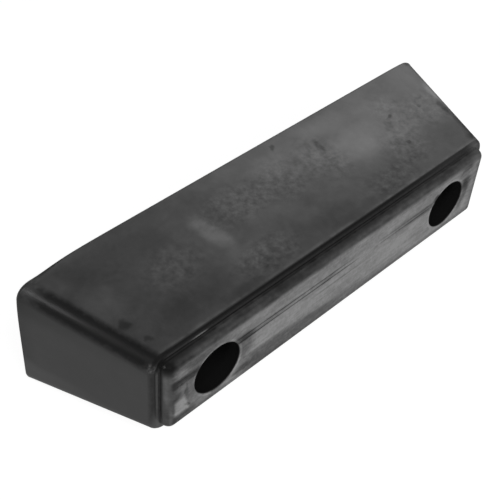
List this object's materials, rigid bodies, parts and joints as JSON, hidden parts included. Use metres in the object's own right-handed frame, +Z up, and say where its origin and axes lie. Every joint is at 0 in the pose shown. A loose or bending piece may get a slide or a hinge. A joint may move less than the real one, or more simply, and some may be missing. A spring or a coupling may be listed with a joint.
{
  "type": "rubber bump stop",
  "caption": "Long moulded rubber bump stop, tapered from a flat mounting face to a smaller stepped striking face with recessed bolt holes.",
  "frame": {"origin": "centre of the flat mounting face, which is the larger end of the taper", "axes": "+X along the block's length, +Y out of the mounting face into the wall it is bolted to, so the striking face looks along -Y, +Z up"},
  "size_m": [0.4, 0.106, 0.097],
  "materials": {
    "rubber": "matt moulded black rubber with a faint grey bloom and light handling scuffs"
  },
  "bodies": {
    "root": {"rubber_block": "rubber"}
  },
  "joints": []
}
